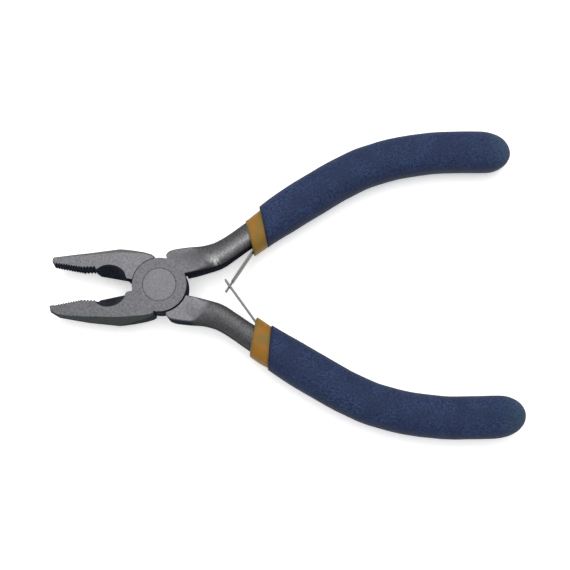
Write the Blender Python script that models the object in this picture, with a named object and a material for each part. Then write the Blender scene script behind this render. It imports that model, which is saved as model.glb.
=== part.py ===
"""Mini combination pliers with a leaf-spring return, as eleven separate pieces.

Sizes are millimetres, turned into metres where a piece is placed.  Each half is drawn in its
closed position with the pivot at the origin: jaw along -X on the +Y side, handle along +X
on the -Y side, own joint plate below the middle plane.  The second half is the first one
turned over about X.  Both halves are then opened about the pivot, as they rest.
"""
import math
from collections import namedtuple

import bpy
import bmesh
from mathutils import Matrix, Vector

MM = 0.001

# Joint
HEAD_HALF_THICKNESS = 3.6
OPEN_HALF_ANGLE = math.radians(11.0)
PLATE_GAP = 0.05            # from the middle plane to each joint plate
DISC_RADIUS = 6.25
JAW_POCKET_RADIUS = 6.36
NECK_POCKET_RADIUS = 6.62
ROUND_SEGMENTS = 64

# Pivot rivet
RIVET_HEAD_RADIUS = 3.78
RIVET_SHANK_RADIUS = 2.6
RIVET_HEAD_DEPTH = 1.25
RIVET_CLEARANCE = 0.06
COUNTERSINK_RADIUS = 3.9

# Jaw
TIP_X = -25.9
TIP_HALF_THICKNESS = 1.5
TAPER_START_X = -6.0
TAPER_EASE = 1.4            # above 1, the taper begins gently
JAW_END_X = -2.5
TOOTH_DEPTH = 0.4
FINE_TEETH = 11
FINE_TEETH_START_X = -25.0
PIPE_TEETH = 4
PIPE_START_X = -18.4
PIPE_END_X = -15.4
PIPE_HOLLOW = 0.7
TOOTH_EDGE_HEIGHT = 0.9
CUTTER_CENTRE_X = -11.6
CUTTER_EDGE = [(-15.3, 0.5), (-14.9, 0.4), (-14.3, 0.0)]
CUTTER_HALF_LENGTH = 3.6
CUTTER_SHOULDER_END_X = -14.6
CUTTER_DEPTH = 2.55
CUTTER_LAND = 0.1
CUTTER_HOLLOW = 0.55        # share of the scallop's depth reached at half its height
CHAMFER_STEEPNESS = 1.7     # chamfer height over chamfer width

# Handle
SECTION_CORNER_STEPS = 6
TANG_END_X = 79.0
MOUTH_TILT_REACH = 4.0      # how far along the handle a mouth's tilt dies away
SLEEVE_END_X = 84.2
GRIP_END_X = 87.6
GRIP_CAP_START_X = 81.0
GRIP_HALF_WIDTH = 4.92
GRIP_HALF_HEIGHT = 4.3
GRIP_SQUARENESS = 2.5       # superellipse exponent, 2 is an ellipse
LAYER_GAP = 0.07

# Leaf springs
LEAF_THICKNESS = 0.4
LEAF_HALF_WIDTH = 1.6
LEAF_SEAT_GAP = 0.1
LEAF_BASE_X = 31.0
LEAF_BEND_X = 24.4
LEAF_CROSSING_RADIUS = 16.0
LEAF_OVERRUN = 1.7
TONGUE_HALF_WIDTH = 0.55
TONGUE_START = 1.1          # before the crossing
SLOT_HALF_HEIGHT = 0.85
SLOT_BEFORE = 0.9
SLOT_AFTER = 0.9

# Spring rivets
SPRING_RIVET_X = 28.0
SPRING_RIVET_HEAD_RADIUS = 1.2
SPRING_RIVET_HEAD_HEIGHT = 0.45
SPRING_RIVET_SHANK_RADIUS = 0.65
SPRING_RIVET_DEPTH = 2.2
SPRING_RIVET_CLEARANCE = 0.08

# Lines along the half: (x, value), joined smoothly
JAW_BACK = [(-17.7, 4.8), (-10.9, 7.0), (-8.0, 7.08), (-5.1, 7.0), (-3.2, 6.75), (-2.4, 6.35)]
TANG_OUTER = [(2.8, -6.55), (3.5, -7.2), (5.0, -7.42), (7.4, -7.3), (11.2, -6.98), (13.6, -7.15), (16.0, -7.85),
              (18.5, -8.9), (22.3, -10.7), (24.0, -11.4), (30.5, -13.7), (39.0, -16.6), (47.0, -19.2),
              (54.0, -20.75), (61.0, -21.15), (68.0, -20.75), (75.5, -19.5), (79.0, -18.7)]
TANG_INNER = [(2.8, -1.25), (6.8, -1.3), (12.0, -1.5), (14.0, -1.65), (15.6, -2.0), (18.3, -3.1), (21.5, -4.5),
              (24.0, -5.5), (30.5, -8.35), (39.0, -11.7), (47.0, -14.6), (54.0, -16.2), (61.0, -16.75),
              (68.0, -16.55), (75.5, -15.6), (79.0, -15.0)]
TANG_HALF_HEIGHT = [(2.8, 3.6), (12.5, 3.6), (18.0, 3.3), (24.0, 2.95), (31.0, 2.6), (39.0, 2.4), (61.0, 2.0),
                    (79.0, 1.8)]
TANG_CORNER_WIDTH = [(2.8, 0.3), (8.3, 0.3), (10.5, 1.3), (12.5, 2.6), (18.0, 2.6), (24.0, 2.4), (79.0, 1.4)]
TANG_CORNER_HEIGHT = [(2.8, 0.3), (8.3, 0.3), (12.5, 1.0), (18.0, 1.6), (24.0, 1.7), (79.0, 1.2)]
GRIP_CENTRE = [(22.0, -7.0), (26.6, -9.2), (30.5, -10.9), (39.0, -14.1), (47.0, -16.85), (54.0, -18.45),
               (61.0, -18.95), (68.0, -18.6), (75.5, -17.4), (82.6, -16.0), (88.0, -15.3)]
GRIP_WIDTH_SHARE = [(26.0, 0.9), (29.0, 0.945), (35.0, 1.0), (88.0, 1.0)]
SLEEVE_OUTER_WALL = [(23.2, 0.5), (27.0, 0.95), (31.0, 0.9), (36.0, 0.8), (85.0, 0.8)]
SLEEVE_INNER_WALL = [(23.2, 2.2), (27.0, 2.15), (31.0, 1.7), (37.0, 0.8), (85.0, 0.8)]
SLEEVE_SWELL = [(23.2, 0.75), (27.4, 0.45), (36.0, 0.0)]
SLEEVE_HEIGHT_WALL = [(23.2, 0.75), (27.0, 1.05), (31.0, 0.9), (36.0, 0.8), (85.0, 0.8)]
SPRING_ROOM = [(23.0, 1.5), (26.0, 1.25), (31.5, 1.25), (36.0, 0.0), (85.0, 0.0)]

# What differs between the two halves, which are finished by hand.  bite is the tooth line's height
# over the closing line, toe_in is how far that line drops toward the tip, so that the tips meet
# first, a mouth is where a handle layer begins and how far its ends lean along X, swell is the share
# of SLEEVE_SWELL that the sleeve has on its outer side, and bend_out is where the leaf leaves the
# handle.
Half = namedtuple("Half", "side bite toe_in tip_bite tooth_bevel cutter_lift shoulder nose chamfer "
                  "sleeve_mouth swell grip_mouth grip_shift bend_out tongue")
OVER = Half("upper", bite=-0.54, toe_in=0.33, tip_bite=-0.9, tooth_bevel=0.2, cutter_lift=0.1, shoulder=0.4,
            nose=[(-25.9, 0.75), (-24.4, 2.1)],
            chamfer=[(-25.9, 0.35), (-21.3, 0.62), (-16.9, 1.15), (-10.9, 1.6), (-8.0, 1.2), (-5.0, 0.75),
                     (-2.4, 0.35)],
            sleeve_mouth=(22.55, 0.22), swell=0.0, grip_mouth=(26.2, 0.0), grip_shift=-0.13,
            bend_out=(22.7, -3.95), tongue=True)
UNDER = Half("lower", bite=0.2, toe_in=0.1, tip_bite=1.2, tooth_bevel=0.75, cutter_lift=-0.02, shoulder=1.1,
             nose=[(-25.9, 2.4)],
             chamfer=[(-25.9, 0.3), (-20.5, 0.5), (-17.0, 0.75), (-10.9, 1.15), (-7.3, 0.8), (-4.8, 0.5),
                      (-2.4, 0.35)],
             sleeve_mouth=(23.25, 0.0), swell=1.0, grip_mouth=(27.4, -0.5), grip_shift=0.2,
             bend_out=(23.2, -4.2), tongue=False)


# ---------------------------------------------------------------- numbers
def smooth(knots, x):
    """Value at x of a smooth curve through the knots, level beyond both ends."""
    if x <= knots[0][0]:
        return knots[0][1]
    if x >= knots[-1][0]:
        return knots[-1][1]
    i = max(k for k in range(len(knots) - 1) if knots[k][0] <= x)
    (x0, y0), (x1, y1) = knots[i], knots[i + 1]
    rise = (y1 - y0) / (x1 - x0)
    before = (y0 - knots[i - 1][1]) / (x0 - knots[i - 1][0]) if i > 0 else rise
    after = (knots[i + 2][1] - y1) / (knots[i + 2][0] - x1) if i + 2 < len(knots) else rise
    start_slope = 2 * before * rise / (before + rise) if before * rise > 0 else 0.0
    end_slope = 2 * after * rise / (after + rise) if after * rise > 0 else 0.0
    u = (x - x0) / (x1 - x0)
    run = x1 - x0
    return (y0 * (2 * u ** 3 - 3 * u ** 2 + 1) + y1 * (3 * u ** 2 - 2 * u ** 3)
            + run * start_slope * (u ** 3 - 2 * u ** 2 + u) + run * end_slope * (u ** 3 - u ** 2))


def straight(knots, x):
    """Value at x of the knots joined by straight lines."""
    for (x0, y0), (x1, y1) in zip(knots, knots[1:]):
        if x <= x1:
            return y0 + (y1 - y0) * max(0.0, (x - x0) / (x1 - x0))
    return knots[-1][1]


def spaced(start, end, count):
    """count + 1 evenly spaced values from start to end."""
    return [start + (end - start) * i / count for i in range(count + 1)]


def rounded_section(x, low, high, half_height, corner_width, corner_height):
    """Rectangle in the plane X = x with elliptical corners, as a loop of points."""
    centre = (low + high) / 2
    half_width = (high - low) / 2
    corner_width = min(corner_width, half_width * 0.97)
    loop = []
    for quarter, (side, level) in enumerate([(1, 1), (-1, 1), (-1, -1), (1, -1)]):
        for step in range(SECTION_CORNER_STEPS):
            angle = (quarter + step / (SECTION_CORNER_STEPS - 1)) * math.pi / 2
            y = centre + side * (half_width - corner_width) + corner_width * math.cos(angle)
            z = level * (half_height - corner_height) + corner_height * math.sin(angle)
            loop.append((x, y, z))
    return loop


def oval_section(x, low, high, half_height):
    """Superellipse in the plane X = x, as a loop of points."""
    count = 4 * SECTION_CORNER_STEPS
    centre = (low + high) / 2
    half_width = (high - low) / 2
    loop = []
    for i in range(count):
        angle = 2 * math.pi * (i + 0.5) / count
        cos_part = math.copysign(abs(math.cos(angle)) ** (2 / GRIP_SQUARENESS), math.cos(angle))
        sin_part = math.copysign(abs(math.sin(angle)) ** (2 / GRIP_SQUARENESS), math.sin(angle))
        loop.append((x, centre + half_width * cos_part, half_height * sin_part))
    return loop


# ---------------------------------------------------------------- meshes
def mesh_from(bm, name):
    """Turn a closed bmesh into a mesh whose faces point outward."""
    bmesh.ops.triangulate(bm, faces=[f for f in bm.faces if len(f.verts) == 4])
    bmesh.ops.recalc_face_normals(bm, faces=bm.faces)
    mesh = bpy.data.meshes.new(name)
    bm.to_mesh(mesh)
    bm.free()
    return mesh


def bridge(bm, loop_a, loop_b):
    """Join two loops of the same length with a ring of faces."""
    for i in range(len(loop_a)):
        j = (i + 1) % len(loop_a)
        bm.faces.new((loop_a[i], loop_a[j], loop_b[j], loop_b[i]))


def loft(name, sections, hollow=()):
    """Solid through the sections; hollow sections make a pocket open at the first one."""
    bm = bmesh.new()
    outer = [[bm.verts.new(p) for p in loop] for loop in sections]
    inner = [[bm.verts.new(p) for p in loop] for loop in hollow]
    for rings in (outer, inner):
        for ring_a, ring_b in zip(rings, rings[1:]):
            bridge(bm, ring_a, ring_b)
    bm.faces.new(outer[-1])
    if inner:
        bm.faces.new(inner[-1])
        bridge(bm, outer[0], inner[0])
    else:
        bm.faces.new(outer[0])
    return mesh_from(bm, name)


def turned(name, profile):
    """Solid of revolution about Z through (radius, z) points, lowest first."""
    sections = []
    for radius, z in profile:
        angles = [2 * math.pi * i / ROUND_SEGMENTS for i in range(ROUND_SEGMENTS)]
        sections.append([(radius * math.cos(a), radius * math.sin(a), z) for a in angles])
    return loft(name, sections)


def pocket_prism(name, low, high):
    """Cutter for the other half's disc: tighter on the jaw side than on the neck side."""
    loop = []
    for i in range(ROUND_SEGMENTS * 2):
        angle = 2 * math.pi * i / (ROUND_SEGMENTS * 2)
        jaw_side = math.radians(40) < angle < math.radians(220)
        radius = JAW_POCKET_RADIUS if jaw_side else NECK_POCKET_RADIUS
        loop.append((radius * math.cos(angle), radius * math.sin(angle)))
    return loft(name, [[(x, y, z) for x, y in loop] for z in (low, high)])


def block(name, low, high):
    """Box between two corners."""
    (x0, y0, z0), (x1, y1, z1) = low, high
    corners = [(x0, y0), (x1, y0), (x1, y1), (x0, y1)]
    return loft(name, [[(x, y, z) for x, y in corners] for z in (z0, z1)])


def rod(name, radius, start, end, sides=16):
    """Cylinder between two points of the plane Z = 0."""
    along = (Vector(end) - Vector(start)).normalized()
    across = Vector((-along.y, along.x, 0))
    sections = []
    for centre in (Vector(start), Vector(end)):
        angles = [2 * math.pi * i / sides for i in range(sides)]
        sections.append([centre + across * radius * math.cos(a) + Vector((0, 0, radius * math.sin(a)))
                         for a in angles])
    return loft(name, sections)


def combine(mesh, tool, operation, name):
    """Boolean of two meshes, returned as a new mesh; both inputs are used up."""
    body = bpy.data.objects.new("body", mesh)
    cutter = bpy.data.objects.new("cutter", tool)
    cutter.hide_render = True
    cutter.display_type = "WIRE"
    for obj in (body, cutter):
        bpy.context.scene.collection.objects.link(obj)
    modifier = body.modifiers.new("boolean", "BOOLEAN")
    modifier.operation = operation
    modifier.solver = "EXACT"
    modifier.object = cutter
    bpy.context.view_layer.update()
    evaluated = body.evaluated_get(bpy.context.evaluated_depsgraph_get())
    result = bpy.data.meshes.new_from_object(evaluated)
    result.name = name
    for obj in (body, cutter):
        bpy.data.objects.remove(obj)
    return result


# ---------------------------------------------------------------- one half: jaw, joint plate, neck and tang
def head_half_thickness(x):
    """Half the thickness of the head, which tapers toward the tip."""
    share = max(0.0, (TAPER_START_X - x) / (TAPER_START_X - TIP_X)) ** TAPER_EASE
    return HEAD_HALF_THICKNESS + (TIP_HALF_THICKNESS - HEAD_HALF_THICKNESS) * share


def jaw_section(half, x, edge, middle, rim, middle_z):
    """Jaw cross-section: the working side's three heights, then the chamfered outer side."""
    top = head_half_thickness(x)
    outer = straight(half.nose + JAW_BACK, x)
    chamfer = straight(half.chamfer, x)
    side = max(0.2, top - chamfer * CHAMFER_STEEPNESS)
    return [(x, edge, 0), (x, middle, middle_z), (x, rim, top), (x, outer - chamfer, top), (x, outer, side),
            (x, outer, -side), (x, outer - chamfer, -top), (x, rim, -top), (x, middle, -middle_z)]


def toothed_sections(half):
    """Tip, fine teeth and the hollowed pipe grip, a section at each crest and valley."""
    tip = half.tip_bite
    sections = [jaw_section(half, TIP_X, tip, tip, tip + 0.15, TIP_HALF_THICKNESS / 2)]
    fine = spaced(FINE_TEETH_START_X, PIPE_START_X, 2 * FINE_TEETH)
    pipe = spaced(PIPE_START_X, PIPE_END_X, 2 * PIPE_TEETH)[1:]
    for i, x in enumerate(fine + pipe):
        drop = half.toe_in * (PIPE_END_X - x) / (PIPE_END_X - FINE_TEETH_START_X)
        hollow = max(0.0, (x - PIPE_START_X) / (PIPE_END_X - PIPE_START_X))
        level = half.bite - drop + PIPE_HOLLOW * hollow
        if i % 2:
            level += TOOTH_DEPTH
        flat = head_half_thickness(x) - TOOTH_EDGE_HEIGHT
        bevel = half.tooth_bevel * (1 - 0.3 * hollow)
        sections.append(jaw_section(half, x, level, level, level + bevel, flat))
    return sections


def cutter_sections(half):
    """Straight cutting edge on the middle plane under a half-moon scallop."""
    sections = []
    for degrees in range(10, 180, 10):
        angle = math.radians(degrees)
        x = CUTTER_CENTRE_X - CUTTER_HALF_LENGTH * math.cos(angle)
        rim = CUTTER_LAND + CUTTER_DEPTH * math.sin(angle)
        if x < CUTTER_SHOULDER_END_X:
            rim = max(rim, half.shoulder)
        edge = half.cutter_lift + straight(CUTTER_EDGE, x)
        middle = max(edge, rim * CUTTER_HOLLOW)
        sections.append(jaw_section(half, x, edge, middle, max(edge, rim), head_half_thickness(x) / 2))
    return sections


def jaw_mesh(half):
    """The whole jaw, run on into the joint so that it fuses with the plate."""
    sections = toothed_sections(half) + cutter_sections(half)
    low = CUTTER_LAND / 2
    for x in (-7.6, -6.0, -5.1, -3.2, JAW_END_X):
        sections.append(jaw_section(half, x, low, low, CUTTER_LAND, HEAD_HALF_THICKNESS / 2))
    return loft("jaw", sections)


def tang_section(x):
    """Neck and tang cross-section: boxy at the head, ground round toward the handle."""
    return rounded_section(x, smooth(TANG_OUTER, x), smooth(TANG_INNER, x), smooth(TANG_HALF_HEIGHT, x),
                           smooth(TANG_CORNER_WIDTH, x), smooth(TANG_CORNER_HEIGHT, x))


def tang_mesh():
    """Neck and tang, from the shoulder beside the joint to the end inside the grip."""
    stations = [2.8, 3.2, 3.7, 4.3, 5.0, 6.5] + spaced(8.3, 24.0, 16) + spaced(25.5, TANG_END_X, 18)
    return loft("tang", [tang_section(x) for x in stations])


def rivet_profile(clearance, head_radius):
    """Half profile of the pivot rivet, or of its hole with a clearance."""
    shank = RIVET_SHANK_RADIUS + clearance
    neck_z = HEAD_HALF_THICKNESS - RIVET_HEAD_DEPTH
    return [(head_radius, -HEAD_HALF_THICKNESS), (shank, -neck_z), (shank, neck_z),
            (head_radius, HEAD_HALF_THICKNESS)]


def lever_mesh(name, half):
    """Forged half: jaw, own joint plate, neck and tang in one piece."""
    plate = turned("plate", [(DISC_RADIUS, -HEAD_HALF_THICKNESS), (DISC_RADIUS, 0.5)])
    lever = combine(jaw_mesh(half), plate, "UNION", name)
    lever = combine(lever, tang_mesh(), "UNION", name)
    lever = combine(lever, pocket_prism("pocket", -PLATE_GAP, 5.0), "DIFFERENCE", name)
    hole = turned("hole", rivet_profile(RIVET_CLEARANCE, COUNTERSINK_RADIUS))
    lever = combine(lever, hole, "DIFFERENCE", name)
    start, end = spring_rivet_line(0.5, -SPRING_RIVET_DEPTH - 0.2)
    seat = rod("seat", SPRING_RIVET_SHANK_RADIUS + SPRING_RIVET_CLEARANCE, start, end)
    return combine(lever, seat, "DIFFERENCE", name)


# ---------------------------------------------------------------- handle layers
def slope(line, x):
    """Slope of a smooth line at x."""
    return (smooth(line, x + 0.2) - smooth(line, x - 0.2)) / 0.4


def tilted(section, x, mouth):
    """Loop of a section function, leaning so that it ends in a slanted mouth."""
    mouth_x, tilt = mouth
    lean = tilt * max(0.0, 1 - (x - mouth_x) / MOUTH_TILT_REACH)
    loop = section(x)
    if lean == 0:
        return loop
    sides = [point[1] for point in loop]
    centre = (max(sides) + min(sides)) / 2
    half_width = (max(sides) - min(sides)) / 2
    return [section(x + lean * (side - centre) / half_width)[i] for i, side in enumerate(sides)]


def grip_section(x, shift):
    """Outside of the blue grip, as wide across its own direction all along, with a round end."""
    cap = max(0.0, (x - GRIP_CAP_START_X) / (GRIP_END_X - GRIP_CAP_START_X))
    shrink = math.sqrt(max(0.0, 1 - cap ** 2))
    half_width = GRIP_HALF_WIDTH * smooth(GRIP_WIDTH_SHARE, x) * math.hypot(1, slope(GRIP_CENTRE, x)) * shrink
    centre = smooth(GRIP_CENTRE, x) + shift
    return oval_section(x, centre - half_width, centre + half_width, GRIP_HALF_HEIGHT * shrink)


def sleeve_section(x, swell, growth=0.0):
    """Outside of the yellow sleeve, thicker over the spring's root near its mouth."""
    end = max(0.0, (x - TANG_END_X) / (SLEEVE_END_X - TANG_END_X))
    shrink = 1 - 0.45 * end ** 2
    low = smooth(TANG_OUTER, x) - smooth(SLEEVE_OUTER_WALL, x) - swell * smooth(SLEEVE_SWELL, x)
    high = smooth(TANG_INNER, x) + smooth(SLEEVE_INNER_WALL, x)
    centre = (low + high) / 2
    half_width = (high - low) / 2 * shrink + growth
    half_height = (smooth(TANG_HALF_HEIGHT, x) + smooth(SLEEVE_HEIGHT_WALL, x)) * shrink + growth
    return oval_section(x, centre - half_width, centre + half_width, half_height)


def bore_section(x):
    """Pocket of the sleeve: the tang with room for the spring's root on its inner side."""
    low = smooth(TANG_OUTER, x) - LAYER_GAP
    high = smooth(TANG_INNER, x) + LAYER_GAP + straight(SPRING_ROOM, x)
    return rounded_section(x, low, high, smooth(TANG_HALF_HEIGHT, x) + LAYER_GAP,
                           smooth(TANG_CORNER_WIDTH, x), smooth(TANG_CORNER_HEIGHT, x))


def sleeve_mesh(name, half):
    """Inner sleeve over the whole tang, open at the neck."""
    near = spaced(half.sleeve_mouth[0], 35.0, 8)
    outer = near + spaced(38.0, SLEEVE_END_X, 12)
    bores = near + spaced(38.0, TANG_END_X + 0.4, 11)

    def outside(x):
        return sleeve_section(x, half.swell)

    return loft(name, [tilted(outside, x, half.sleeve_mouth) for x in outer],
                [tilted(bore_section, x, half.sleeve_mouth) for x in bores])


def grip_mesh(name, half):
    """Outer grip over the sleeve, leaving a band of it bare at the mouth."""
    near = spaced(half.grip_mouth[0], 35.0, 6)
    body = near + spaced(38.5, GRIP_CAP_START_X, 13)
    cap = [GRIP_CAP_START_X + (GRIP_END_X - GRIP_CAP_START_X) * math.sin(math.radians(d))
           for d in (20, 40, 58, 74, 86)]
    bores = near + spaced(38.0, SLEEVE_END_X, 12) + [SLEEVE_END_X + 0.4]

    def outside(x):
        return grip_section(x, half.grip_shift)

    def inside(x):
        return sleeve_section(x, half.swell, LAYER_GAP)

    return loft(name, [tilted(outside, x, half.grip_mouth) for x in body + cap],
                [tilted(inside, x, half.grip_mouth) for x in bores])


# ---------------------------------------------------------------- leaf springs and their rivets
def leaf_seat(x):
    """Middle of the leaf where it lies along the tang's inner side."""
    lift = (LEAF_SEAT_GAP + LEAF_THICKNESS / 2) * math.hypot(1, slope(TANG_INNER, x))
    return Vector((x, smooth(TANG_INNER, x) + lift, 0))


def leaf_crossing():
    """Where the two leaves cross, on the tool's middle line when the pliers are open."""
    return Vector((LEAF_CROSSING_RADIUS * math.cos(OPEN_HALF_ANGLE),
                   LEAF_CROSSING_RADIUS * math.sin(OPEN_HALF_ANGLE), 0))


def leaf_direction(half):
    """Direction of the leaf's free stretch, toward its tip."""
    return (leaf_crossing() - Vector((*half.bend_out, 0))).normalized()


def leaf_path(half):
    """Middle line of a leaf from its root under the sleeve to its tip."""
    seat = [leaf_seat(x) for x in spaced(LEAF_BASE_X, LEAF_BEND_X, 4)]
    crossing = leaf_crossing()
    along = leaf_direction(half)
    free = [Vector((*half.bend_out, 0)), crossing - along * TONGUE_START, crossing,
            crossing + along * LEAF_OVERRUN]
    return seat + free


def leaf_mesh(name, half):
    """Strip of spring steel, ending in a narrow tongue or in a slot for one."""
    path = leaf_path(half)
    sections = []
    for i, point in enumerate(path):
        before = path[max(i - 1, 0)]
        after = path[min(i + 1, len(path) - 1)]
        along = (after - before).normalized()
        across = Vector((-along.y, along.x, 0)) * LEAF_THICKNESS / 2
        narrow = half.tongue and i >= len(path) - 3
        widths = [LEAF_HALF_WIDTH]
        if narrow:
            widths = [LEAF_HALF_WIDTH, TONGUE_HALF_WIDTH] if i == len(path) - 3 else [TONGUE_HALF_WIDTH]
        for step, width in enumerate(widths):
            here = point + along * 0.02 * step
            rise = Vector((0, 0, width))
            sections.append([here - across - rise, here + across - rise, here + across + rise,
                             here - across + rise])
    leaf = loft(name, sections)
    if not half.tongue:
        leaf = combine(leaf, slot_cutter(half), "DIFFERENCE", name)
    start, end = spring_rivet_line(2.0, -1.0)
    hole = rod("hole", SPRING_RIVET_SHANK_RADIUS + SPRING_RIVET_CLEARANCE, start, end)
    return combine(leaf, hole, "DIFFERENCE", name)


def slot_cutter(half):
    """Window through the slotted leaf around the crossing."""
    slot = block("slot", (-SLOT_BEFORE, -1, -SLOT_HALF_HEIGHT), (SLOT_AFTER, 1, SLOT_HALF_HEIGHT))
    along = leaf_direction(half)
    turn = Matrix.Rotation(math.atan2(along.y, along.x), 4, "Z")
    slot.transform(Matrix.Translation(leaf_crossing()) @ turn)
    return slot


def spring_rivet_line(above, below):
    """Two points on the spring rivet's axis, measured from the tang's inner side."""
    tilt = slope(TANG_INNER, SPRING_RIVET_X)
    normal = Vector((-tilt, 1, 0)).normalized()
    surface = Vector((SPRING_RIVET_X, smooth(TANG_INNER, SPRING_RIVET_X), 0))
    return surface + normal * above, surface + normal * below


def spring_rivet_mesh(name):
    """Small rivet that holds a leaf to the tang: flat head on the leaf, shank in the tang."""
    seat = LEAF_SEAT_GAP + LEAF_THICKNESS + LEAF_SEAT_GAP
    top, under_head = spring_rivet_line(seat + SPRING_RIVET_HEAD_HEIGHT, seat)
    head = rod("head", SPRING_RIVET_HEAD_RADIUS, under_head, top)
    start, end = spring_rivet_line(seat + SPRING_RIVET_HEAD_HEIGHT / 2, -SPRING_RIVET_DEPTH)
    shank = rod("shank", SPRING_RIVET_SHANK_RADIUS, end, start)
    return combine(head, shank, "UNION", name)


# ---------------------------------------------------------------- objects
def material(name, colour, metallic, roughness):
    """Plain Principled material."""
    result = bpy.data.materials.new(name)
    result.use_nodes = True
    shader = result.node_tree.nodes["Principled BSDF"]
    shader.inputs["Base Color"].default_value = (*colour, 1)
    shader.inputs["Metallic"].default_value = metallic
    shader.inputs["Roughness"].default_value = roughness
    return result


def place(name, mesh, surface, parent):
    """Turn a piece into metres and link it under its half's frame."""
    mesh.transform(Matrix.Scale(MM, 4))
    mesh.name = name
    mesh.materials.clear()
    mesh.materials.append(surface)
    mesh.shade_smooth()
    mesh.set_sharp_from_angle(angle=math.radians(32))
    obj = bpy.data.objects.new(name, mesh)
    bpy.context.scene.collection.objects.link(obj)
    obj.parent = parent
    return obj


def half_frame(name, rotation):
    """Empty on the pivot axis that carries one half, opened from its closed position."""
    frame = bpy.data.objects.new(name, None)
    frame.location = (0, 0, HEAD_HALF_THICKNESS * MM)
    frame.rotation_euler = rotation
    bpy.context.scene.collection.objects.link(frame)
    return frame


def build():
    """The two halves, each with its own handle layers and spring, and the rivet between them."""
    for obj in list(bpy.data.objects):
        bpy.data.objects.remove(obj)
    forged = material("blasted_steel", (0.21, 0.205, 0.215), 0.85, 0.45)
    riveted = material("rivet_steel", (0.24, 0.235, 0.24), 0.85, 0.42)
    bright = material("spring_steel", (0.62, 0.61, 0.58), 1.0, 0.25)
    mustard = material("mustard_vinyl", (0.42, 0.235, 0.03), 0.0, 0.5)
    navy = material("navy_vinyl", (0.022, 0.038, 0.12), 0.0, 0.7)

    over = half_frame("over_half_frame", (math.pi, 0, OPEN_HALF_ANGLE))
    under = half_frame("under_half_frame", (0, 0, -OPEN_HALF_ANGLE))
    place("lever_over", lever_mesh("lever_over", OVER), forged, over)
    place("lever_under", lever_mesh("lever_under", UNDER), forged, under)
    place("pivot_rivet", turned("pivot_rivet", rivet_profile(0.0, RIVET_HEAD_RADIUS)), riveted, over)
    for half, frame in ((OVER, over), (UNDER, under)):
        place("inner_sleeve_" + half.side, sleeve_mesh("inner_sleeve", half), mustard, frame)
        place("grip_" + half.side, grip_mesh("grip", half), navy, frame)
        place("leaf_spring_" + half.side, leaf_mesh("leaf_spring", half), bright, frame)
        place("spring_rivet_" + half.side, spring_rivet_mesh("spring_rivet"), riveted, frame)
    bpy.context.view_layer.update()


build()
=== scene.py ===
"""Looks of the mini combination pliers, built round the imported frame.

Shapes are drawn in millimetres in each half's closed position, as the frame's pieces are: pivot
at the origin, jaw along -X, handle along +X.  `to_row` then places them in the row frame.
"""
import math
from collections import namedtuple

import bmesh
import bpy
from mathutils import Euler, Matrix, Vector, noise


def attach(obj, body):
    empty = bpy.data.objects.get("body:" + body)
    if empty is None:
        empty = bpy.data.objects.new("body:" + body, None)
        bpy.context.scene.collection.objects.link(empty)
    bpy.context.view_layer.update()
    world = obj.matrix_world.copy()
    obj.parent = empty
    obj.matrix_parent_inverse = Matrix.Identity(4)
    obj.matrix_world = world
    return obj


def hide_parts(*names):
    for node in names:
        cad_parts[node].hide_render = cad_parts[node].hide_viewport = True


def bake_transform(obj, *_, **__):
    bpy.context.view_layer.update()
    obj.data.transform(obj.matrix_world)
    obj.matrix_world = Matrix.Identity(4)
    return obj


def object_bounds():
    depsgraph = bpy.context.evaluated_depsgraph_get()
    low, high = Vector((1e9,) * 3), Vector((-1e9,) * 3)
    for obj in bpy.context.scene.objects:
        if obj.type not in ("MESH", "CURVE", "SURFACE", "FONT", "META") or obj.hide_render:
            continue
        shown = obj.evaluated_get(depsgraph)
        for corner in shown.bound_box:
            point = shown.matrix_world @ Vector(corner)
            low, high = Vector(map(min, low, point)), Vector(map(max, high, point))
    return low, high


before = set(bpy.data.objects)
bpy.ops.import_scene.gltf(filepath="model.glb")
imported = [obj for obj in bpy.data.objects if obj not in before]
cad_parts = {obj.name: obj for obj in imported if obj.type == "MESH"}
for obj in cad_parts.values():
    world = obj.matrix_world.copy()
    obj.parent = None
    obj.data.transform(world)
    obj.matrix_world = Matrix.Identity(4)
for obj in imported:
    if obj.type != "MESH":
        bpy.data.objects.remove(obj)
cad_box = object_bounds()

MM = 0.001
HEAD_HALF_THICKNESS = 3.6
OPEN_HALF_ANGLE = math.radians(11.0)
LOCAL = "half_mm"            # mesh attribute with a vertex's place in its half, in millimetres
MARKS = "marks"              # mesh attribute with up to three masks that a material uses

# Forged halves
LEVER_VOXEL = 0.065
LEVER_SMOOTHING = 2
LEVER_KEPT_FACES = 0.14      # share of the remeshed faces
WELD_DISTANCE = 0.002
FLAT_ANGLE = math.radians(0.5)
DISC_GROWTH = 0.045          # added to a joint plate's rim, for a finer line round it
DISC_RIM = (5.6, 6.1)        # radii between which the growth sets in
DISC_OUTSIDE = (6.3, 7.3)    # radii between which it dies away
DISC_PLATE_DEPTH = 0.2       # depth over which it sets in, from the middle plane to the own plate
GROUND_START_X = 10.0        # the ground neck begins on a slant, nearer the head on the outer side
GROUND_SLANT = 1.6
GROUND_FADE = 1.4
# The neck's painted highlight: a band along the ground neck where it would catch the light, stronger on one
# half
HIGHLIGHT_PLACE = 0.32           # share of the way from the tang's middle line to its inner side
HIGHLIGHT_WIDTH = 0.36
HIGHLIGHT_FADE = (0.4, 2.4)
JAW_WALLS_FADE_X = (-3.0, -1.0)
BITE_SIDE_SLOPE = 0.12       # the working side of a jaw lies below y = offset + slope * x
BITE_SIDE_OFFSET = 4.8
BITE_SIDE_BLUR = 0.15
SCRATCH_CENTRE = (13.6, -2.4, -3.2)
SCRATCH_FADE = (0.3, 1.7)    # distances from the centre

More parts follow.
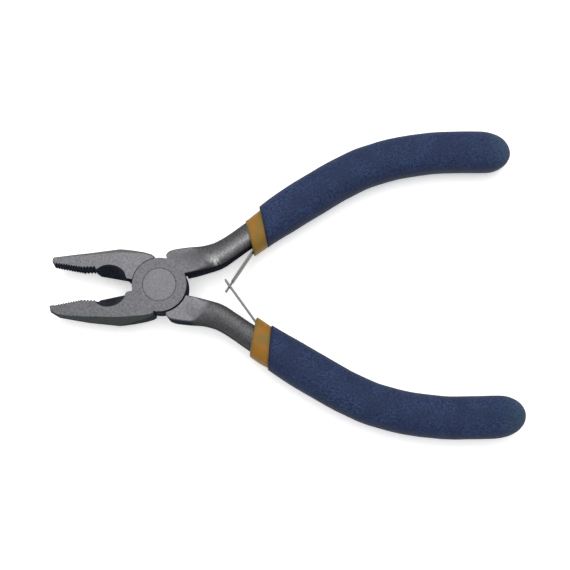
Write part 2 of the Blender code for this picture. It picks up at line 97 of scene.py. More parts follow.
# Rivets and springs
RIVET_HEAD_RADIUS = 3.81
RIVET_HEAD_DEPTH = 1.25
RIVET_COLLAR = 0.25          # the straight rim at the end of the head's cone
RIVET_SHANK_RADIUS = 2.6
RIVET_FACE_RINGS = (2.8, 1.6, 0.5)
RIVET_EDGE = 0.06
RIVET_EDGE_STEPS = 4
RIVET_SEGMENTS = 128
SPRING_RIVET_EDGE = 0.06
SHARP_ANGLE = math.radians(40)
LEAF_EDGE = 0.1
LEAF_CUTS_X = [15.2 + 0.6 * i for i in range(15)]
LEAF_ROOT = (24.4, -5.0, 0)  # where a leaf leaves its sleeve

# Handle layers
TANG_END_X = 79.0
MOUTH_TILT_REACH = 4.0
SLEEVE_END_X = 84.2
GRIP_CAP_START_X = 81.0
GRIP_END_X = 87.6
GRIP_HALF_WIDTH = 4.92
GRIP_HALF_HEIGHT = 4.3
GRIP_SQUARENESS = 2.5        # superellipse exponent, 2 is an ellipse
GRIP_LIP = 0.3
SLEEVE_LIP = 0.28
SLEEVE_END_NARROWING = 0.45
LAYER_GAP = 0.07
BORE_ROOM = 0.1
BORE_END_ROOM = 0.4
ROUND_STEPS = 56
STATION_STEP = 0.6
BORE_STEP = 2.0
CAP_DEGREES = range(6, 90, 6)
LIP_STEPS = 5
DENT_DEPTH = 0.05
DENT_SIZE = 6.0
HEEL_FADE_X = (80.0, 87.0)

# Outlines of the handle: each pair is a place along X and the value there
TANG_OUTER = [(2.8, -6.55), (3.5, -7.2), (5.0, -7.42), (7.4, -7.3), (11.2, -6.98), (13.6, -7.15),
              (16.0, -7.85), (18.5, -8.9), (22.3, -10.7), (24.0, -11.4), (30.5, -13.7), (39.0, -16.6),
              (47.0, -19.2), (54.0, -20.75), (61.0, -21.15), (68.0, -20.75), (75.5, -19.5), (79.0, -18.7)]
TANG_INNER = [(2.8, -1.25), (6.8, -1.3), (12.0, -1.5), (14.0, -1.65), (15.6, -2.0), (18.3, -3.1),
              (21.5, -4.5), (24.0, -5.5), (30.5, -8.35), (39.0, -11.7), (47.0, -14.6), (54.0, -16.2),
              (61.0, -16.75), (68.0, -16.55), (75.5, -15.6), (79.0, -15.0)]
TANG_HALF_HEIGHT = [(2.8, 3.6), (12.5, 3.6), (18.0, 3.3), (24.0, 2.95), (31.0, 2.6), (39.0, 2.4), (61.0, 2.0),
                    (79.0, 1.8)]
GRIP_CENTRE = [(22.0, -7.0), (26.6, -9.2), (30.5, -10.9), (39.0, -14.1), (47.0, -16.85), (54.0, -18.45),
               (61.0, -18.95), (68.0, -18.6), (75.5, -17.4), (82.6, -16.0), (88.0, -15.3)]
GRIP_WIDTH_SHARE = [(26.0, 0.9), (29.0, 0.945), (35.0, 1.0), (88.0, 1.0)]
SLEEVE_OUTER_WALL = [(23.2, 0.5), (27.0, 0.95), (31.0, 0.9), (36.0, 0.8), (85.0, 0.8)]
SLEEVE_INNER_WALL = [(23.2, 2.2), (27.0, 2.15), (31.0, 1.7), (37.0, 0.8), (85.0, 0.8)]
SLEEVE_SWELL = [(23.2, 0.75), (27.4, 0.45), (36.0, 0.0)]
SLEEVE_HEIGHT_WALL = [(23.2, 0.75), (27.0, 1.05), (31.0, 0.9), (36.0, 0.8), (85.0, 0.8)]
SPRING_ROOM = [(23.0, 1.5), (26.0, 1.25), (31.5, 1.25), (36.0, 0.0), (85.0, 0.0)]

# Studio, in metres and watts
FLOOR_HALF_SIDE = 30.0
FLOOR_GAP = 0.00004          # under the lowest point of the CAD
FLOOR_GLOW = 0.4             # emission of the light table's paper
FLOOR_FIBRE = 0.004
WORLD_STRENGTH = 0.5
KEY_PLACE = (0.02, 0.22, 0.62)
KEY_AIM = (0.02, 0, 0)
KEY_SIZE = 0.8
KEY_POWER = 4.8
CAMERA_PLACE = (0.02821, -0.04238, 0.23270)
CAMERA_TILT = math.radians(10.5)
CAMERA_ROLL = math.radians(-0.9)
CAMERA_LENS = 63.16
CAMERA_SENSOR = 36

# A mouth is its x and how far its inner side leans on along X; glare is the strength of the highlight painted
# along the neck, 0 to 1, and the half's tone is 0 for darker flats and 1 for paler ones; it also sets the
# chamfers, in painted shade on the darker half and in painted light on the paler one.
Half = namedtuple("Half", "side body other turn sleeve_mouth swell grip_mouth grip_shift glare tone seed")
OVER = Half("upper", "over_half", "under_half", (math.pi, 0, OPEN_HALF_ANGLE),
            sleeve_mouth=(22.55, 0.22), swell=0.0, grip_mouth=(26.2, 0.0), grip_shift=-0.13, glare=1.0,
            tone=0.0, seed=1.0)
UNDER = Half("lower", "under_half", "over_half", (0, 0, -OPEN_HALF_ANGLE),
             sleeve_mouth=(23.25, 0.0), swell=1.0, grip_mouth=(27.4, -0.5), grip_shift=0.2, glare=0.25,
             tone=1.0, seed=2.0)


# ---------------------------------------------------------------- numbers
def smooth(knots, x):
    """Value at x of a smooth curve through the knots, level beyond both ends."""
    if x <= knots[0][0]:
        return knots[0][1]
    if x >= knots[-1][0]:
        return knots[-1][1]
    i = max(k for k in range(len(knots) - 1) if knots[k][0] <= x)
    (x0, y0), (x1, y1) = knots[i], knots[i + 1]
    rise = (y1 - y0) / (x1 - x0)
    before = (y0 - knots[i - 1][1]) / (x0 - knots[i - 1][0]) if i > 0 else rise
    after = (knots[i + 2][1] - y1) / (knots[i + 2][0] - x1) if i + 2 < len(knots) else rise
    start_slope = 2 * before * rise / (before + rise) if before * rise > 0 else 0.0
    end_slope = 2 * after * rise / (after + rise) if after * rise > 0 else 0.0
    u = (x - x0) / (x1 - x0)
    run = x1 - x0
    return (y0 * (2 * u ** 3 - 3 * u ** 2 + 1) + y1 * (3 * u ** 2 - 2 * u ** 3)
            + run * start_slope * (u ** 3 - 2 * u ** 2 + u) + run * end_slope * (u ** 3 - u ** 2))


def straight(knots, x):
    """Value at x of the knots joined by straight lines."""
    for (x0, y0), (x1, y1) in zip(knots, knots[1:]):
        if x <= x1:
            return y0 + (y1 - y0) * max(0.0, (x - x0) / (x1 - x0))
    return knots[-1][1]


def slope(line, x):
    """Slope of a smooth line at x."""
    return (smooth(line, x + 0.2) - smooth(line, x - 0.2)) / 0.4


def stations(start, end, step):
    """Evenly spaced values from start to end, about step apart."""
    count = max(1, round((end - start) / step))
    return [start + (end - start) * i / count for i in range(count + 1)]


def fade(x, start, end):
    """0 before start, 1 after end, smooth between."""
    u = min(1.0, max(0.0, (x - start) / (end - start)))
    return u * u * (3 - 2 * u)


# ---------------------------------------------------------------- meshes
def to_row(half):
    """Matrix from a half's closed frame in millimetres to the row frame in metres."""
    place = Matrix.Translation((0, 0, HEAD_HALF_THICKNESS * MM))
    return place @ Euler(half.turn).to_matrix().to_4x4() @ Matrix.Scale(MM, 4)


def keep_vectors(mesh, name, vectors):
    """Store one vector a vertex for the materials to read."""
    attribute = mesh.attributes.new(name, "FLOAT_VECTOR", "POINT")
    attribute.data.foreach_set("vector", [c for vector in vectors for c in vector])


def finish_piece(name, mesh, half, node, surface, marks=None, ride=True):
    """Place a piece drawn in its half, in place of a CAD node."""
    keep_vectors(mesh, LOCAL, [v.co for v in mesh.vertices])
    if marks:
        keep_vectors(mesh, MARKS, [marks(v.co) for v in mesh.vertices])
    mesh.transform(to_row(half))
    mesh.materials.clear()
    mesh.materials.append(surface)
    mesh.shade_smooth()
    obj = bpy.data.objects.new(name, mesh)
    bpy.context.scene.collection.objects.link(obj)
    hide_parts(node)
    if ride:
        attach(obj, half.body)
    return obj


def oval_section(x, low, high, half_height):
    """Superellipse in the plane X = x, as a loop of points."""
    centre = (low + high) / 2
    half_width = (high - low) / 2
    loop = []
    for i in range(ROUND_STEPS):
        angle = 2 * math.pi * (i + 0.5) / ROUND_STEPS
        cos_part = math.copysign(abs(math.cos(angle)) ** (2 / GRIP_SQUARENESS), math.cos(angle))
        sin_part = math.copysign(abs(math.sin(angle)) ** (2 / GRIP_SQUARENESS), math.sin(angle))
        loop.append(Vector((x, centre + half_width * cos_part, half_height * sin_part)))
    return loop


def loft(name, loops):
    """Closed mesh through loops of equal length, capped at both ends."""
    bm = bmesh.new()
    rings = [[bm.verts.new(p) for p in loop] for loop in loops]
    for ring_a, ring_b in zip(rings, rings[1:]):
        for i in range(len(ring_a)):
            j = (i + 1) % len(ring_a)
            bm.faces.new((ring_a[i], ring_a[j], ring_b[j], ring_b[i]))
    bm.faces.new(rings[0])
    bm.faces.new(rings[-1])
    bmesh.ops.recalc_face_normals(bm, faces=bm.faces)
    mesh = bpy.data.meshes.new(name)
    bm.to_mesh(mesh)
    bm.free()
    return mesh


def evaluated_mesh(obj):
    """The object's mesh with its modifiers applied; the object itself is removed."""
    bpy.context.view_layer.update()
    result = bpy.data.meshes.new_from_object(obj.evaluated_get(bpy.context.evaluated_depsgraph_get()))
    bpy.data.objects.remove(obj)
    return result


# ---------------------------------------------------------------- handle layers
def grip_section(x, half):
    """Outside of the blue grip."""
    cap = max(0.0, (x - GRIP_CAP_START_X) / (GRIP_END_X - GRIP_CAP_START_X))
    shrink = math.sqrt(max(0.0, 1 - cap ** 2))
    half_width = GRIP_HALF_WIDTH * smooth(GRIP_WIDTH_SHARE, x) * math.hypot(1, slope(GRIP_CENTRE, x)) * shrink
    centre = smooth(GRIP_CENTRE, x) + half.grip_shift
    return oval_section(x, centre - half_width, centre + half_width, GRIP_HALF_HEIGHT * shrink)


def sleeve_section(x, half, growth=0.0):
    """Outside of the yellow sleeve."""
    end = max(0.0, (x - TANG_END_X) / (SLEEVE_END_X - TANG_END_X))
    shrink = 1 - SLEEVE_END_NARROWING * end ** 2
    low = smooth(TANG_OUTER, x) - smooth(SLEEVE_OUTER_WALL, x) - half.swell * smooth(SLEEVE_SWELL, x)
    high = smooth(TANG_INNER, x) + smooth(SLEEVE_INNER_WALL, x)
    centre = (low + high) / 2
    half_width = (high - low) / 2 * shrink + growth
    half_height = (smooth(TANG_HALF_HEIGHT, x) + smooth(SLEEVE_HEIGHT_WALL, x)) * shrink + growth
    return oval_section(x, centre - half_width, centre + half_width, half_height)


def bore_section(x):
    """Pocket of the sleeve, round the tang and the spring's root."""
    low = smooth(TANG_OUTER, x) - LAYER_GAP
    high = smooth(TANG_INNER, x) + LAYER_GAP + straight(SPRING_ROOM, x)
    half_height = smooth(TANG_HALF_HEIGHT, x) + LAYER_GAP + BORE_ROOM
    return oval_section(x, low - BORE_ROOM, high + BORE_ROOM, half_height)


def tilted(section, x, mouth):
    """Loop of a section function, leaning so that it ends in a slanted mouth."""
    mouth_x, tilt = mouth
    lean = tilt * max(0.0, 1 - (x - mouth_x) / MOUTH_TILT_REACH)
    loop = section(x)
    if lean == 0:
        return loop
    sides = [point.y for point in loop]
    centre = (max(sides) + min(sides)) / 2
    half_width = (max(sides) - min(sides)) / 2
    return [section(x + lean * (side - centre) / half_width)[i] for i, side in enumerate(sides)]


def hollow_piece(name, outside, inside, mouth, outer_stations, inner_stations, lip):
    """Skin from the pocket's end out over a rounded lip and on to the closed far end."""
    loops = [tilted(inside, x, mouth) for x in reversed(inner_stations)]
    rims = (tilted(inside, mouth[0] + lip, mouth), tilted(outside, mouth[0] + lip, mouth))
    for step in range(1, LIP_STEPS):
        turn = math.pi * step / LIP_STEPS
        share = (1 - math.cos(turn)) / 2
        back = Vector((lip * math.sin(turn), 0, 0))
        loops.append([a.lerp(b, share) - back for a, b in zip(*rims)])
    loops += [tilted(outside, x, mouth) for x in outer_stations]
    return loft(name, loops)


def dent(mesh, depth, size, seed):
    """Slight hand-dipped unevenness along the surface normals."""
    normals = [v.normal.copy() for v in mesh.vertices]
    for vertex, normal in zip(mesh.vertices, normals):
        wave = noise.noise(vertex.co / size + Vector((seed * 17.3, 0, 0)))
        ripple = noise.noise(vertex.co / (size * 0.3) + Vector((0, seed * 11.9, 0)))
        vertex.co += normal * depth * (wave + 0.4 * ripple - 0.8)


def mouth_distance(point, mouth, centre):
    """How far a point lies past a slanted mouth, along the handle."""
    lean = mouth[1] * (point.y - centre) / GRIP_HALF_WIDTH
    return point.x - mouth[0] - lean


def grip(half, surface):
    """Blue outer grip with a rounded mouth and a domed end."""
    first = half.grip_mouth[0] + GRIP_LIP
    body = stations(first, GRIP_CAP_START_X, STATION_STEP)
    cap = [GRIP_CAP_START_X + (GRIP_END_X - GRIP_CAP_START_X) * math.sin(math.radians(degrees))
           for degrees in CAP_DEGREES]
    bore = stations(first, SLEEVE_END_X, BORE_STEP)
    mesh = hollow_piece("grip", lambda x: grip_section(x, half), lambda x: sleeve_section(x, half, LAYER_GAP),
                        half.grip_mouth, body + cap, bore, GRIP_LIP)
    dent(mesh, DENT_DEPTH, DENT_SIZE, half.seed)

    def marks(point):
        # The first mask marks the band by the mouth that the material darkens as painted shade
        past = mouth_distance(point, half.grip_mouth, smooth(GRIP_CENTRE, point.x))
        return (1 - fade(past, 0.0, 0.7), 0, 0)

    return finish_piece("outer_grip_" + half.side, mesh, half, "grip_" + half.side, surface,
                        marks)


def sleeve(half, surface):
    """Yellow inner sleeve: rim at its mouth, then a bare band before the blue grip."""
    first = half.sleeve_mouth[0] + SLEEVE_LIP
    body = stations(first, SLEEVE_END_X, STATION_STEP)
    bore = stations(first, TANG_END_X + BORE_END_ROOM, BORE_STEP)
    mesh = hollow_piece("sleeve", lambda x: sleeve_section(x, half), bore_section, half.sleeve_mouth, body,
                        bore, SLEEVE_LIP)

    def marks(point):
        centre = smooth(GRIP_CENTRE, point.x)
        past = mouth_distance(point, half.sleeve_mouth, centre)
        # The second mask marks the band just before the blue grip's mouth, where the material paints the
        # lip's shade
        ahead = -mouth_distance(point, half.grip_mouth, centre)
        return (1 - fade(past, 0.1, 0.9), 1 - fade(ahead, 0.0, 0.6), 0)

    return finish_piece("sleeve_" + half.side, mesh, half, "inner_sleeve_" + half.side,
                        surface, marks)


# ---------------------------------------------------------------- steel
def welded_copy(node, half):
    """A CAD node's mesh in its half's millimetres, with its faces joined up."""
    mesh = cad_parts[node].data.copy()
    mesh.transform(to_row(half).inverted())
    bm = bmesh.new()
    bm.from_mesh(mesh)
    bmesh.ops.remove_doubles(bm, verts=bm.verts, dist=WELD_DISTANCE)
    bmesh.ops.dissolve_limit(bm, angle_limit=FLAT_ANGLE, verts=bm.verts, edges=bm.edges)
    bm.to_mesh(mesh)
    bm.free()
    return mesh


def steel_marks(half):
    """Masks of a forged half: ground neck, the highlight painted along it, and the half's tone, which also
    paints its chamfers lit or shaded.
    """
    def marks(point):
        low = smooth(TANG_OUTER, point.x)
        high = smooth(TANG_INNER, point.x)
        across = (2 * point.y - low - high) / (high - low)
        past = point.x - GROUND_START_X - GROUND_SLANT * max(-1.0, min(1.0, across))
        neck_highlight = math.exp(-((across - HIGHLIGHT_PLACE) / HIGHLIGHT_WIDTH) ** 2)
        return (fade(past, 0.0, GROUND_FADE), half.glare * neck_highlight * fade(past, *HIGHLIGHT_FADE), half.tone)
    return marks


def grow_disc(mesh):
    """Push the rim of the half's own joint plate a little outward."""
    for vertex in mesh.vertices:
        radius = math.hypot(vertex.co.x, vertex.co.y)
        share = fade(radius, *DISC_RIM) * (1 - fade(radius, *DISC_OUTSIDE))
        share *= fade(-vertex.co.z, 0.0, DISC_PLATE_DEPTH)
        if share > 0:
            vertex.co.x *= 1 + share * DISC_GROWTH / radius
            vertex.co.y *= 1 + share * DISC_GROWTH / radius


def steel_half(node, half, surface):
    """Forged half: the CAD solid with its edges worn round."""
    draft = bpy.data.objects.new("draft", welded_copy(node, half))
    bpy.context.scene.collection.objects.link(draft)
    remesh = draft.modifiers.new("remesh", "REMESH")
    remesh.mode = "VOXEL"
    remesh.voxel_size = LEVER_VOXEL
    rounding = draft.modifiers.new("rounding", "SMOOTH")
    rounding.factor = 0.5
    rounding.iterations = LEVER_SMOOTHING
    thin = draft.modifiers.new("thin", "DECIMATE")
    thin.ratio = LEVER_KEPT_FACES
    mesh = evaluated_mesh(draft)
    grow_disc(mesh)
    return finish_piece("forged_" + node, mesh, half, node, surface, steel_marks(half))


def edged_piece(name, node, half, surface, edge, cuts=(), ride=True):
    """A small CAD part with its edges rounded, cut across at the given x."""
    mesh = welded_copy(node, half)
    for x in cuts:
        bm = bmesh.new()
        bm.from_mesh(mesh)
        bmesh.ops.bisect_plane(bm, geom=bm.verts[:] + bm.edges[:] + bm.faces[:], plane_co=(x, 0, 0),
                               plane_no=(1, 0, 0))
        bm.to_mesh(mesh)
        bm.free()
    draft = bpy.data.objects.new("draft", mesh)
    bpy.context.scene.collection.objects.link(draft)
    bevel = draft.modifiers.new("edges", "BEVEL")
    bevel.width = edge
    bevel.segments = 2
    bevel.limit_method = "ANGLE"
    bevel.angle_limit = SHARP_ANGLE
    return finish_piece(name, evaluated_mesh(draft), half, node, surface, ride=ride)


def rivet(surface):
    """Pivot rivet with a slightly rounded rim on both faces."""
    top = HEAD_HALF_THICKNESS
    upper = [(RIVET_SHANK_RADIUS, top - RIVET_HEAD_DEPTH), (RIVET_HEAD_RADIUS, top - RIVET_COLLAR)]
    for step in range(RIVET_EDGE_STEPS + 1):
        angle = math.pi / 2 * step / RIVET_EDGE_STEPS
        radius = RIVET_HEAD_RADIUS - RIVET_EDGE * (1 - math.cos(angle))
        upper.append((radius, top - RIVET_EDGE * (1 - math.sin(angle))))
    upper += [(radius, top) for radius in RIVET_FACE_RINGS]
    profile = [(r, -z) for r, z in reversed(upper)] + upper
    angles = [2 * math.pi * i / RIVET_SEGMENTS for i in range(RIVET_SEGMENTS)]
    loops = []
    for radius, z in profile:
        loops.append([Vector((radius * math.cos(a), radius * math.sin(a), z)) for a in angles])
    return finish_piece("joint_rivet", loft("rivet", loops), OVER, "pivot_rivet", surface)


# ---------------------------------------------------------------- materials
class Shade:
    """One material's node tree, built with short calls.  Noise sizes are in millimetres."""

    def __init__(self, name):
        self.material = bpy.data.materials.new(name)
        self.material.use_nodes = True
        self.tree = self.material.node_tree
        self.shader = self.tree.nodes["Principled BSDF"]

    def node(self, kind, **settings):
        made = self.tree.nodes.new("ShaderNode" + kind)
        for key, value in settings.items():
            setattr(made, key, value)
        return made

    def feed(self, socket, value):
        if isinstance(value, bpy.types.NodeSocket):
            self.tree.links.new(value, socket)
        else:
            socket.default_value = value

    def local(self):
        return self.node("Attribute", attribute_name=LOCAL).outputs["Vector"]

    def marks(self):
        return self.node("Attribute", attribute_name=MARKS).outputs["Vector"]

    def scaled(self, vector, factors, turn=0.0):
        made = self.node("Mapping")
        self.feed(made.inputs["Vector"], vector)
        made.inputs["Rotation"].default_value = (0, 0, turn)
        made.inputs["Scale"].default_value = factors
        return made.outputs["Vector"]

    def noise(self, vector, size, detail=2.0, roughness=0.5):
        made = self.node("TexNoise")
        self.feed(made.inputs["Vector"], vector)
        made.inputs["Scale"].default_value = 1 / size
        made.inputs["Detail"].default_value = detail
        made.inputs["Roughness"].default_value = roughness
        return made.outputs["Fac"]

    def maths(self, operation, a, b=0.0):
        made = self.node("Math", operation=operation)
        self.feed(made.inputs[0], a)
        self.feed(made.inputs[1], b)
        return made.outputs[0]

    def span(self, value, low, high, out_low=0.0, out_high=1.0):
        made = self.node("MapRange", interpolation_type="SMOOTHSTEP")
        for socket, number in zip(made.inputs[:5], (value, low, high, out_low, out_high)):
            self.feed(socket, number)
        return made.outputs[0]

    def mix(self, share, a, b):
        made = self.node("Mix", data_type="RGBA")
        self.feed(made.inputs["Factor"], share)
        self.feed(made.inputs[6], a)
        self.feed(made.inputs[7], b)
        return made.outputs[2]

    def parts(self, vector):
        made = self.node("SeparateXYZ")
        self.feed(made.inputs[0], vector)
        return made.outputs

    def distance(self, vector, centre):
        made = self.node("VectorMath", operation="DISTANCE")
        self.feed(made.inputs[0], vector)
        made.inputs[1].default_value = centre
        return made.outputs["Value"]

    def facing_up(self):
        """How level the surface lies, 0 on a wall and 1 on a flat top or underside."""
        normal = self.parts(self.node("NewGeometry").outputs["Normal"])
        return self.maths("ABSOLUTE", normal[2])

    def bump(self, height, depth_mm, strength=1.0, normal=None):
        made = self.node("Bump")
        made.inputs["Distance"].default_value = depth_mm * MM
        made.inputs["Strength"].default_value = strength
        self.feed(made.inputs["Height"], height)
        if normal is not None:
            self.feed(made.inputs["Normal"], normal)
        return made.outputs["Normal"]

    def surface(self, **sockets):
        for name, value in sockets.items():
            self.feed(self.shader.inputs[name.replace("_", " ")], value)
        return self.material


def grey(value):
    return (value, value, value, 1)


def blasted_steel():
    """Sandblasted flats, dark walls partly in painted shade, chamfers with painted light and shade, and a
    cross-ground neck with a painted highlight.
    """
    shade = Shade("blasted_steel_detail")
    local = shade.local()
    ground, neck_highlight, tone = shade.parts(shade.marks())
    grain = shade.noise(local, 0.42, detail=4, roughness=0.75)
    mottle = shade.noise(local, 1.6, detail=3, roughness=0.6)
    along = shade.scaled(local, (1, 1, 1), turn=0.42)
    strokes = shade.noise(shade.scaled(along, (6.0, 0.9, 1.2)), 0.8, detail=4, roughness=0.75)
    level = shade.facing_up()
    speckle = shade.span(grain, 0.3, 0.7)
    dark_flats = shade.mix(speckle, (0.078, 0.077, 0.086, 1), (0.192, 0.19, 0.205, 1))
    light_flats = shade.mix(speckle, (0.108, 0.107, 0.118, 1), (0.25, 0.246, 0.264, 1))
    flats = shade.mix(tone, dark_flats, light_flats)
    flats = shade.mix(shade.span(mottle, 0.3, 0.7, 0.0, 0.3), flats, (0.14, 0.145, 0.152, 1))
    # Walls are dark, partly as forged finish and partly as painted shade; the jaws' outer sides a little
    # lighter
    walls = shade.mix(speckle, (0.01, 0.012, 0.02, 1), (0.033, 0.038, 0.052, 1))
    # Chamfers are painted darker than the flats as shade; the darker copy is painted shade, the lighter
    # painted light, and the half's tone picks one
    dark_chamfers = shade.mix(speckle, (0.032, 0.038, 0.038, 1), (0.06, 0.068, 0.066, 1))
    light_chamfers = shade.mix(speckle, (0.06, 0.067, 0.062, 1), (0.105, 0.113, 0.105, 1))
    chamfers = shade.mix(tone, dark_chamfers, light_chamfers)
    place = shade.parts(local)
    # The bite side's teeth and scallops take the darkest wall colour, the same mix of dark finish and painted
    # shade
    inner = shade.span(shade.maths("SUBTRACT", place[1], shade.maths("MULTIPLY", place[0], BITE_SIDE_SLOPE)),
                       BITE_SIDE_OFFSET - BITE_SIDE_BLUR, BITE_SIDE_OFFSET + BITE_SIDE_BLUR, 1.0, 0.0)
    inner = shade.maths("MULTIPLY", inner, shade.span(place[0], *JAW_WALLS_FADE_X, 1.0, 0.0))
    outer_walls = shade.mix(speckle, (0.02, 0.023, 0.026, 1), (0.045, 0.05, 0.054, 1))
    sides = shade.mix(shade.span(place[0], *JAW_WALLS_FADE_X), outer_walls, walls)
    head = shade.mix(shade.span(level, 0.15, 0.5), sides, chamfers)
    head = shade.mix(inner, head, walls)
    head = shade.mix(shade.span(level, 0.7, 0.97), head, flats)
    # Cross-ground neck strokes, with a highlight painted along the neck where it would catch the light
    dull = shade.mix(shade.span(strokes, 0.3, 0.7), (0.04, 0.04, 0.043, 1), (0.1, 0.1, 0.104, 1))
    bright = shade.mix(shade.span(strokes, 0.3, 0.7), (0.125, 0.125, 0.13, 1), (0.42, 0.42, 0.42, 1))
    neck = shade.mix(shade.maths("MULTIPLY", neck_highlight, 0.8), dull, bright)
    scratch = shade.noise(shade.scaled(local, (6.0, 0.6, 0.6), turn=0.1), 1.0, detail=1)
    scratched = shade.span(shade.distance(local, SCRATCH_CENTRE), *SCRATCH_FADE, 1.0, 0.0)
    scratched = shade.maths("MULTIPLY", scratched, shade.maths("SUBTRACT", 1.0, tone))
    scratched = shade.maths("MULTIPLY", scratched, shade.span(scratch, 0.42, 0.62))
    neck = shade.mix(scratched, neck, grey(0.6))
    neck_walls = shade.mix(tone, walls, dark_chamfers)
    neck = shade.mix(shade.span(level, 0.3, 0.7), neck_walls, neck)
    colour = shade.mix(ground, head, neck)
    relief = shade.bump(grain, 0.03, 0.8)
    grooves = shade.bump(shade.maths("MULTIPLY", strokes, ground), 0.04, 0.5, relief)
    rough = shade.span(grain, 0.3, 0.7, 0.42, 0.56)
    metal = shade.span(level, 0.2, 0.6, 0.0, 0.5)
    return shade.surface(Base_Color=colour, Metallic=metal, Roughness=rough, Specular_IOR_Level=0.0,
                         Normal=grooves)


def rivet_steel():
    """Ground flush, with a finer grain than the forgings, and with painted shade on every face that is not
    level.
    """
    shade = Shade("rivet_steel_detail")
    local = shade.local()
    grain = shade.noise(local, 0.34, detail=4, roughness=0.75)
    mottle = shade.noise(local, 1.2, detail=3, roughness=0.6)
    colour = shade.mix(shade.span(grain, 0.3, 0.7), (0.085, 0.083, 0.091, 1), (0.185, 0.182, 0.194, 1))
    colour = shade.mix(shade.maths("MULTIPLY", mottle, 0.3), colour, (0.127, 0.125, 0.134, 1))
    # Painted shade: every face that is not level, the rim round the head among them, is near-black
    colour = shade.mix(shade.span(shade.facing_up(), 0.6, 0.97), grey(0.03), colour)
    return shade.surface(Base_Color=colour, Metallic=0.55, Roughness=shade.span(grain, 0.3, 0.7, 0.4, 0.52),
                         Normal=shade.bump(grain, 0.015, 0.5))


def spring_steel():
    """Dull rolled strip with bright sheared edges and faint rolling marks along it."""
    shade = Shade("spring_steel_detail")
    local = shade.local()
    marks = shade.noise(shade.scaled(local, (0.3, 0.3, 6.0)), 1.0, detail=3)
    spots = shade.noise(local, 0.8, detail=2)
    colour = shade.mix(marks, (0.025, 0.024, 0.021, 1), (0.07, 0.068, 0.06, 1))
    colour = shade.mix(shade.span(spots, 0.55, 0.8, 0.0, 0.4), colour, (0.02, 0.019, 0.017, 1))
    colour = shade.mix(shade.span(shade.facing_up(), 0.85, 0.99), colour, (0.13, 0.128, 0.117, 1))
    return shade.surface(Base_Color=colour, Metallic=0.4, Roughness=shade.span(marks, 0.3, 0.7, 0.3, 0.45),
                         Normal=shade.bump(marks, 0.01, 0.4))


def mustard_vinyl():
    """Dipped vinyl with orange-brown blotches, a paler olive rim at its mouth, and painted shade where the
    blue grip's lip meets it.
    """
    shade = Shade("mustard_vinyl_detail")
    local = shade.local()
    mouth, grip_lip_shade, _ = shade.parts(shade.marks())
    blotch = shade.noise(local, 2.2, detail=2, roughness=0.5)
    speck = shade.noise(local, 0.3, detail=3, roughness=0.6)
    colour = shade.mix(shade.span(blotch, 0.36, 0.68), (0.21, 0.126, 0.018, 1), (0.31, 0.122, 0.011, 1))
    colour = shade.mix(shade.maths("MULTIPLY", speck, 0.3), colour, (0.18, 0.105, 0.018, 1))
    colour = shade.mix(shade.maths("MULTIPLY", mouth, 0.6), colour, (0.14, 0.1, 0.026, 1))
    # Painted shade on the sleeve next to the blue grip's lip
    colour = shade.mix(shade.maths("MULTIPLY", grip_lip_shade, 0.7), colour, (0.10, 0.075, 0.022, 1))
    return shade.surface(Base_Color=colour, Roughness=shade.span(speck, 0.3, 0.7, 0.45, 0.6),
                         Specular_IOR_Level=0.2, Normal=shade.bump(speck, 0.02, 0.4))


def navy_vinyl():
    """Matt pebbled vinyl, with painted shade along its mouth and on its sides, and rubbed paler at its heel.
    """
    shade = Shade("navy_vinyl_detail")
    local = shade.local()
    mouth = shade.parts(shade.marks())[0]
    heel = shade.span(shade.parts(local)[0], *HEEL_FADE_X, 0.0, 0.5)
    pebble = shade.noise(local, 0.42, detail=3, roughness=0.65)
    cloud = shade.noise(local, 5.0, detail=2)
    fine = shade.noise(local, 0.16, detail=2, roughness=0.6)
    colour = shade.mix(shade.span(pebble, 0.3, 0.7), (0.004, 0.009, 0.032, 1), (0.03, 0.053, 0.132, 1))
    colour = shade.mix(shade.span(cloud, 0.35, 0.65, 0.0, 0.45), colour, (0.01, 0.017, 0.05, 1))
    colour = shade.mix(shade.maths("MULTIPLY", heel, pebble), colour, (0.06, 0.12, 0.15, 1))
    # Painted shade along the mouth, where the grip's lip meets the sleeve
    colour = shade.mix(shade.maths("MULTIPLY", mouth, 0.75), colour, (0.006, 0.008, 0.02, 1))
    # Painted shade on the sides, darker where the surface turns away from level
    colour = shade.mix(shade.span(shade.facing_up(), 0.2, 0.8, 0.4, 0.0), colour, (0.003, 0.005, 0.012, 1))
    relief = shade.bump(pebble, 0.09, 0.8)
    relief = shade.bump(fine, 0.025, 0.6, relief)
    return shade.surface(Base_Color=colour, Roughness=shade.span(pebble, 0.3, 0.7, 0.62, 0.8),
                         Specular_IOR_Level=0.2, Normal=relief)


# ---------------------------------------------------------------- studio


def floor():
    """Large pale light table just under the pliers."""
    mesh = bpy.data.meshes.new("floor")
    side = FLOOR_HALF_SIDE
    level = cad_box[0].z - FLOOR_GAP
    corners = [(-side, -side, level), (side, -side, level), (side, side, level), (-side, side, level)]
    mesh.from_pydata(corners, [], [(0, 1, 2, 3)])
    obj = bpy.data.objects.new("floor", mesh)
    bpy.context.scene.collection.objects.link(obj)
    shade = Shade("floor_paper")
    place = shade.node("TexCoord").outputs["Object"]
    fibre = shade.noise(place, FLOOR_FIBRE, detail=3)
    colour = shade.mix(fibre, grey(0.88), grey(0.92))
    mesh.materials.append(shade.surface(Base_Color=colour, Roughness=0.9, Specular_IOR_Level=0.1,
                                        Emission_Color=grey(1.0), Emission_Strength=FLOOR_GLOW))


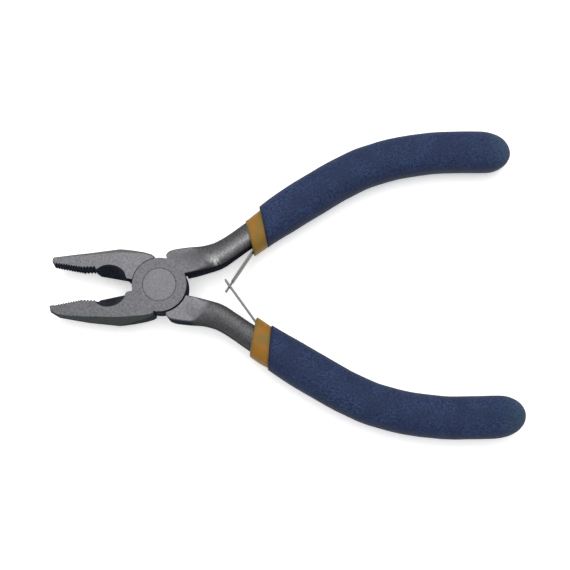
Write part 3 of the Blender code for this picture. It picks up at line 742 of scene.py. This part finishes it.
def area_light(name, place, aim, size, power):
    """Square soft light aimed at a point."""
    lamp = bpy.data.lights.new(name, "AREA")
    lamp.size = size
    lamp.energy = power
    obj = bpy.data.objects.new(name, lamp)
    obj.location = place
    obj.rotation_euler = (Vector(aim) - Vector(place)).to_track_quat("-Z", "Y").to_euler()
    bpy.context.scene.collection.objects.link(obj)


def studio():
    """Pale floor, even surroundings and a large soft light from above and behind."""
    floor()
    world = bpy.data.worlds.new("studio")
    world.use_nodes = True
    background = world.node_tree.nodes["Background"]
    background.inputs["Color"].default_value = (1, 1, 1, 1)
    background.inputs["Strength"].default_value = WORLD_STRENGTH
    bpy.context.scene.world = world
    area_light("key", KEY_PLACE, KEY_AIM, KEY_SIZE, KEY_POWER)
    bpy.context.scene.view_settings.view_transform = "Standard"


def camera():
    """Nearly straight above, a little toward -Y."""
    lens = bpy.data.cameras.new("camera")
    lens.sensor_width = CAMERA_SENSOR
    lens.lens = CAMERA_LENS
    obj = bpy.data.objects.new("camera", lens)
    obj.location = CAMERA_PLACE
    obj.rotation_euler = (CAMERA_TILT, 0, CAMERA_ROLL)
    bpy.context.scene.collection.objects.link(obj)
    bpy.context.scene.camera = obj


# ---------------------------------------------------------------- build
def leaf(half, surface):
    """Leaf spring, cut across along its length and attached to neither half."""
    piece = edged_piece("leaf_" + half.side, "leaf_spring_" + half.side, half, surface,
                        LEAF_EDGE, LEAF_CUTS_X, ride=False)
    other = UNDER if half is OVER else OVER
    base = Vector(LEAF_ROOT)
    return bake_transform(piece, half.body, half.other, start=to_row(half) @ base, end=to_row(other) @ base)


forged = blasted_steel()
riveted = rivet_steel()
bright = spring_steel()
mustard = mustard_vinyl()
navy = navy_vinyl()
steel_half("lever_over", OVER, forged)
steel_half("lever_under", UNDER, forged)
rivet(riveted)
for one in (OVER, UNDER):
    sleeve(one, mustard)
    grip(one, navy)
    leaf(one, bright)
    edged_piece("spring_pin_" + one.side, "spring_rivet_" + one.side, one, riveted,
                SPRING_RIVET_EDGE)

studio()
camera()
